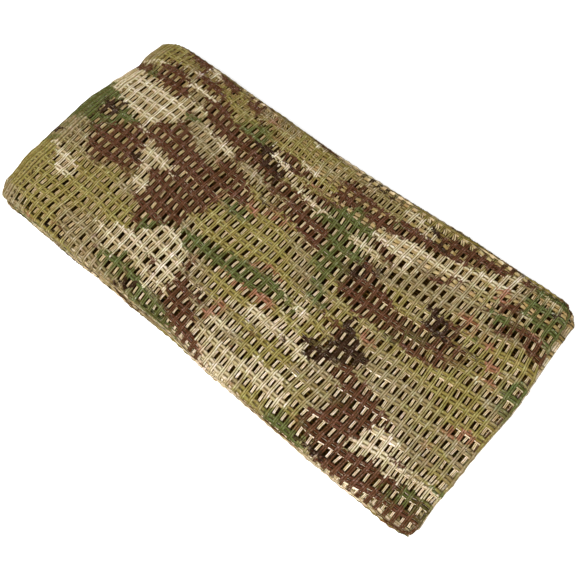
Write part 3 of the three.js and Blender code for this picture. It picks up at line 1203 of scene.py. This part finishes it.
def yarn_material(colours):
    """Matte printed cotton: print on the upper face of each strand, bare yarn below, a twisted surface, with
    painted shade and highlights in its colour.
    """
    material = bpy.data.materials.new("printed cotton yarn")
    material.use_nodes = True
    tree = material.node_tree
    tree.nodes.clear()
    make = NodeMaker(tree)
    flat, yarn, look = (
        make.add("ShaderNodeAttribute", attribute_name=name).outputs["Vector"]
        for name in ("flat_place", "yarn_place", "yarn_dye_and_shade")
    )
    look = make.parts(look)
    side = make.parts(flat)["Z"]

    # The print, with ragged edges, on the plan of the cloth
    on_plan = make.scaled(flat, (1.0, 1.0, 0.0))
    ragged = make.noise(on_plan, *RAGGED_NOISE)
    inks = {name: (*getattr(colours, name.lower()), 1.0) for name in PRINT_COLOURS}
    strays = make.scaled(ragged["Color"], (RAGGED_REACH, RAGGED_REACH, 0.0), on_plan)
    printed = make.add("ShaderNodeGroup", {"Place": strays, **inks}, node_tree=camouflage_group()).outputs[0]

    # The print fades out round each strand, and a ghost of it seeps through to the bare reverse
    fuzz = make.noise(make.scaled(flat, (1.0, 1.0, FUZZ_ROUND_YARN)), *FUZZ_NOISE)["Fac"]
    reach = make.math("MULTIPLY_ADD", make.math("SUBTRACT", fuzz, 0.5), FUZZY_EDGE, side)
    bare = (*colours.bare, 1.0)
    seeping = make.noise(on_plan, *SEEP_NOISE)["Fac"]
    back = make.mix(make.ramp(seeping, SEEP_RANGE, (0.0, SEEP_MOST), "LINEAR"), bare, printed)
    soaked = make.add("ShaderNodeGamma", {"Color": printed, "Gamma": look["Y"]}).outputs[0]
    front = make.mix(make.ramp(fuzz, FLECK_RANGE, (0.0, FLECK_MOST)), soaked, bare)
    dyed = make.mix(make.ramp(reach, PRINTED_RANGE), back, front)

    # Light and dark of fibre, strand and mottle, and painted shade: in the twist's grooves, where a strand
    # dips under another, deep in the packet and on each strand's sides, with a painted highlight on its
    # crest; warmer where darker
    twist = make.add("ShaderNodeGroup", {"Yarn place": yarn}, node_tree=twist_group()).outputs["Height"]
    tone = make.math("MULTIPLY_ADD", fuzz, FUZZ_TONE[1], FUZZ_TONE[0])
    # Painted shade: darker in the grooves of the twist
    tone = make.math("MULTIPLY_ADD", twist, TWIST_GROOVE_SHADE, tone)
    # Painted shade: each strand darker on its sides, above and below, and a painted highlight on its crest
    upper_crest_shade = make.ramp(side, CREST_SHADE_RANGE, (UPPER_VALLEY_SHADE, CREST_HIGHLIGHT))
    under_side = make.math("MULTIPLY", side, -1.0)
    lower_crest_shade = make.ramp(under_side, CREST_SHADE_RANGE, (LOWER_VALLEY_SHADE, CREST_HIGHLIGHT))
    upper = make.math("GREATER_THAN", side, 0.0)
    low, high = MIX_NUMBERS
    crest_shade = make.add("ShaderNodeMix", {"Factor": upper, low: lower_crest_shade, high: upper_crest_shade}).outputs[0]
    mottle = make.math("MULTIPLY_ADD", ragged["Fac"], MOTTLE_TONE[1], MOTTLE_TONE[0])
    for share in (look["X"], look["Z"], crest_shade, mottle):
        tone = make.math("MULTIPLY", tone, share)
    green = make.math("POWER", tone, SHADE_GREEN_POWER)
    blue = make.math("POWER", tone, SHADE_BLUE_POWER)
    toned = make.mix(1.0, dyed, make.vector(tone, green, blue), blend_type="MULTIPLY")
    hue = make.noise(on_plan, *TINT_NOISE)["Color"]
    tint = make.scaled(hue, 3 * (TINT_TONE[1],), 3 * (TINT_TONE[0],))
    tinted = make.mix(1.0, toned, tint, blend_type="MULTIPLY")

    relief = make.math("MULTIPLY_ADD", twist, TWIST_RELIEF, fuzz)
    bump = make.add(
        "ShaderNodeBump",
        {"Height": relief, "Strength": RELIEF_STRENGTH, "Distance": RELIEF_DEPTH},
    )
    shader = make.add(
        "ShaderNodeBsdfPrincipled",
        {
            "Base Color": tinted,
            "Roughness": make.math("MULTIPLY_ADD", fuzz, ROUGHNESS[1], ROUGHNESS[0]),
            "Normal": bump.outputs[0],
            "Specular IOR Level": SHINE,
        },
    )
    make.add("ShaderNodeOutputMaterial", {"Surface": shader.outputs[0]})
    return material


def next_band(first, pitch, low):
    """Where the first band of an even line of bands lies that is not before a place."""
    return first + max(math.ceil((low - first) / pitch), 0) * pitch


def net_yarns(stretch, sizes):
    """Yarns of a stretch: fine ones for its columns, plump ones for its rows, and two thicker fine ones."""
    fine_width = sizes.fine_width * stretch.columns_width
    fine = Yarn(
        strands=2,
        pitch=(PAIR_GAP + PAIR_SPREAD * stretch.columns_width) * fine_width,
        width=fine_width,
        thickness=sizes.fine_thickness,
        rest=0.25 * MM,
        lift=0.35 * MM,
        pinch=0.0,
        swell=-0.1,
        slub=0.5,
        wander=0.6 * MM,
        tone=1.02,
        beat=0.14,
        dye=0.95,
    )
    plump = Yarn(
        strands=2,
        pitch=PLUMP_SPREAD * sizes.plump_width,
        width=sizes.plump_width,
        thickness=sizes.plump_thickness,
        rest=-0.05 * MM,
        lift=-0.4 * MM,
        pinch=0.1,
        swell=0.08,
        slub=0.65,
        wander=0.8 * MM,
        tone=0.98,
        beat=-0.1,
        dye=1.1,
    )
    cord = fine._replace(
        strands=2,
        pitch=0.5 * sizes.column_pitch,
        width=3.5 * MM,
        thickness=1.7 * MM,
        lift=0.15 * MM,
        swell=0.0,
        slub=0.3,
        wander=0.4 * MM,
        beat=0.05,
        dye=1.0,
    )
    broad = fine._replace(width=BROADER * fine.width, pitch=BROADER * fine.pitch)
    return fine, plump, cord, broad


def band_sets(stretch, sizes):
    """The sets of bands that cross a stretch, with the close bands at the cloth's ends and edges."""
    fine, plump, cord, broad = net_yarns(stretch, sizes)
    (u0, u1), (v0, v1) = stretch.length, stretch.width
    last_column = CLOTH_LENGTH - END_BANDS * END_BAND_PITCH - 0.5 * sizes.column_pitch
    last_row = CLOTH_WIDTH - EDGE_BAND_FIRST - EDGE_BANDS * EDGE_BAND_PITCH
    end_offset = 0.5 * END_BAND_PITCH
    last_end = CLOTH_LENGTH - end_offset - (END_BANDS - 1) * END_BAND_PITCH
    last_edge = CLOTH_WIDTH - EDGE_BAND_FIRST - (EDGE_BANDS - 1) * EDGE_BAND_PITCH
    fold_begins = LENGTHWISE["nose"].begin
    fold_ends = LENGTHWISE["top ply"].begin
    cords_to = fold_begins
    thick, thick_to = fine, fold_begins
    if stretch.cords:
        cords_to = fold_ends - CORDS_END_BEFORE
        thick, thick_to = cord, cords_to
    if stretch.broad:
        thick, thick_to = broad, fold_ends + BROAD_PAST_FOLD
    first_thick = next_band(sizes.column_first, sizes.column_pitch, fold_begins)
    after_thick = next_band(sizes.column_first, sizes.column_pitch, thick_to)
    between = 0.5 * sizes.column_pitch
    column_lines = (
        (sizes.column_first, sizes.column_pitch, first_thick - between, fine),
        (first_thick, sizes.column_pitch, after_thick - between, thick),
        (after_thick, sizes.column_pitch, last_column, fine),
        (end_offset, END_BAND_PITCH, END_BANDS * END_BAND_PITCH, fine),
        (last_end, END_BAND_PITCH, CLOTH_LENGTH, fine),
    )
    filling = plump._replace(strands=1)
    row_lines = (
        (sizes.row_first, sizes.row_pitch, last_row, plump),
        (EDGE_BAND_FIRST, EDGE_BAND_PITCH, EDGE_BANDS * EDGE_BAND_PITCH, plump),
        (last_edge, EDGE_BAND_PITCH, CLOTH_WIDTH, plump),
        (sizes.row_first + 0.5 * sizes.row_pitch, sizes.row_pitch, last_row, filling),
    )
    found = []
    for upright, lines, low, high in ((True, column_lines, u0, u1), (False, row_lines, v0, v1)):
        for first, pitch, last, yarn in lines:
            begins = next_band(first, pitch, low)
            count = math.floor((min(high, last) - begins) / pitch) + 1
            run = (v0, v1) if upright else (u0, u1)
            if yarn is filling:
                run = max(u0, fold_begins), min(u1, cords_to)
            if begins >= high or count < 1 or run[0] >= run[1]:
                continue
            found.append(
                BandSet(
                    first=begins,
                    pitch=pitch,
                    count=count,
                    begin=run[0],
                    end=run[1],
                    yarn=yarn,
                    detail=stretch.columns if upright else stretch.rows,
                    crosses_at=sizes.row_first if upright else sizes.column_first,
                    crosses_every=sizes.row_pitch if upright else sizes.column_pitch,
                    upright=upright,
                )
            )
    return found


def stretches():
    """The cloth in stretches, each a rectangle of it: the top ply layer by layer, then the other plies."""
    wide = math.radians(60)
    close = math.radians(30)
    plain = (Detail(3, 1, wide), Detail(3, 2, wide))
    left_fold = LENGTHWISE["left fold"]
    before = LENGTHWISE["nose"].begin - BEFORE_NOSE
    after = LENGTHWISE["second ply"].begin + PAST_RIGHT_FOLD
    inner = left_fold.begin + 0.5 * left_fold.length
    near = WIDTHWISE["near fold"].begin
    far = WIDTHWISE["second layer"].begin + SAG_MARGIN
    within = WIDTHWISE["third layer"].begin + SAG_MARGIN
    top_ply = (before, after)
    whole_width = (0.0, CLOTH_WIDTH)
    return (
        Stretch(
            "net_top_layer",
            top_ply,
            (near, far),
            columns=Detail(5, 3, close),
            rows=Detail(5, 4, close),
            relief=1.0,
            cords=True,
        ),
        Stretch(
            "net_second_layer",
            top_ply,
            (far, within),
            columns=Detail(4, 2, close),
            rows=Detail(5, 3, close),
            relief=0.8,
            columns_width=0.7,
            broad=True,
            stray=2.2,
        ),
        Stretch("net_third_layer", top_ply, (within, CLOTH_WIDTH), *plain),
        Stretch("net_fourth_layer", top_ply, (0.0, near), *plain),
        Stretch("net_second_ply", (after, inner), whole_width, *plain),
        Stretch("net_third_ply", (inner, CLOTH_LENGTH), whole_width, *plain),
        Stretch("net_bottom_ply", (0.0, before), whole_width, *plain),
    )


class SCRIM_OT_net(bpy.types.Operator):
    """Weave the net stretch by stretch and fold it into the packet"""

    bl_idname = "scrim.net"
    bl_label = "Folded net"

    def execute(self, context):
        scene = context.scene
        sizes = scene.scrim_net
        tree = yarn_set_tree()
        material = yarn_material(scene.scrim_colours)
        askew = Askew(sizes.column_pitch, row_slip(sizes.row_first, sizes.row_pitch))
        for stretch in stretches():
            sets = []
            for band in band_sets(stretch, sizes):
                mesh = woven_bands(stretch.name, band, stretch.relief, tree, material)
                sets.append((mesh_data(mesh), band))
                bpy.data.meshes.remove(mesh)
            piece = bpy.data.objects.new(stretch.name, folded_mesh(stretch, sets, askew, material))
            scene.collection.objects.link(piece)
            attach(piece, BODY)
            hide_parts(CAD_NODE)
        return {"FINISHED"}


def place_floor(scene, sizes):
    """A plain pale floor under the packet."""
    mesh = bpy.data.meshes.new("floor")
    build = bmesh.new()
    bmesh.ops.create_grid(build, x_segments=1, y_segments=1, size=sizes.floor_size / 2)
    build.to_mesh(mesh)
    build.free()
    material = bpy.data.materials.new("pale floor")
    material.use_nodes = True
    shader = material.node_tree.nodes["Principled BSDF"]
    shader.inputs["Base Color"].default_value = (*sizes.floor_colour, 1.0)
    shader.inputs["Roughness"].default_value = FLOOR_ROUGHNESS
    shader.inputs["Specular IOR Level"].default_value = 0.0
    mesh.materials.append(material)
    floor = bpy.data.objects.new("floor", mesh)
    scene.collection.objects.link(floor)


def place_lights(scene, sizes):
    """An even pale sky and one broad soft light overhead."""
    world = bpy.data.worlds.new("pale sky")
    world.use_nodes = True
    background = world.node_tree.nodes["Background"]
    background.inputs["Color"].default_value = (1.0, 1.0, 1.0, 1.0)
    background.inputs["Strength"].default_value = sizes.sky_strength
    scene.world = world
    lamp = bpy.data.lights.new("overhead light", "AREA")
    lamp.shape = "DISK"
    lamp.size = LIGHT_SIZE
    lamp.energy = sizes.key_power
    light = bpy.data.objects.new("overhead light", lamp)
    light.location = LIGHT_PLACE
    light.rotation_euler = (-LIGHT_PLACE).to_track_quat("-Z", "Y").to_euler()
    scene.collection.objects.link(light)


def place_camera(scene):
    """The camera, at its place and angle over the packet's right near corner."""
    data = bpy.data.cameras.new("camera")
    data.lens = CAMERA_LENS
    data.sensor_width = CAMERA_SENSOR
    camera = bpy.data.objects.new("camera", data)
    ahead = CAMERA_AHEAD.normalized()
    right = (CAMERA_RIGHT - CAMERA_RIGHT.dot(ahead) * ahead).normalized()
    up = right.cross(ahead)
    turn = Matrix((right, up, -ahead)).transposed()
    camera.matrix_world = Matrix.Translation(CAMERA_PLACE) @ turn.to_4x4()
    scene.collection.objects.link(camera)
    scene.camera = camera


class SCRIM_OT_stage(bpy.types.Operator):
    """Lay the pale floor, set the soft light and place the camera"""

    bl_idname = "scrim.stage"
    bl_label = "Stage, light and camera"

    def execute(self, context):
        scene = context.scene
        sizes = scene.scrim_stage
        place_floor(scene, sizes)
        place_lights(scene, sizes)
        place_camera(scene)
        scene.view_settings.view_transform = "Standard"
        scene.view_settings.look = "None"
        return {"FINISHED"}


class SCRIM_PT_panel(bpy.types.Panel):
    """Sizes, colours and the steps that make the packet"""

    bl_idname = "SCRIM_PT_panel"
    bl_label = "Folded camouflage scrim"
    bl_space_type = "VIEW_3D"
    bl_region_type = "UI"
    bl_category = "Scrim"

    def draw(self, context):
        layout = self.layout
        for group in (context.scene.scrim_net, context.scene.scrim_colours, context.scene.scrim_stage):
            box = layout.box()
            for name in group.__annotations__:
                box.prop(group, name)
        for operator in (SCRIM_OT_net, SCRIM_OT_stage):
            layout.operator(operator.bl_idname)


CLASSES = (
    ScrimNetSizes,
    ScrimPrintColours,
    ScrimStageSizes,
    SCRIM_OT_net,
    SCRIM_OT_stage,
    SCRIM_PT_panel,
)


def register():
    for made in CLASSES:
        bpy.utils.register_class(made)
    bpy.types.Scene.scrim_net = bpy.props.PointerProperty(type=ScrimNetSizes)
    bpy.types.Scene.scrim_colours = bpy.props.PointerProperty(type=ScrimPrintColours)
    bpy.types.Scene.scrim_stage = bpy.props.PointerProperty(type=ScrimStageSizes)


def unregister():
    del bpy.types.Scene.scrim_stage
    del bpy.types.Scene.scrim_colours
    del bpy.types.Scene.scrim_net
    for made in reversed(CLASSES):
        bpy.utils.unregister_class(made)


def main():
    register()
    bpy.ops.scrim.net()
    bpy.ops.scrim.stage()


if __name__ == "__main__":
    main()
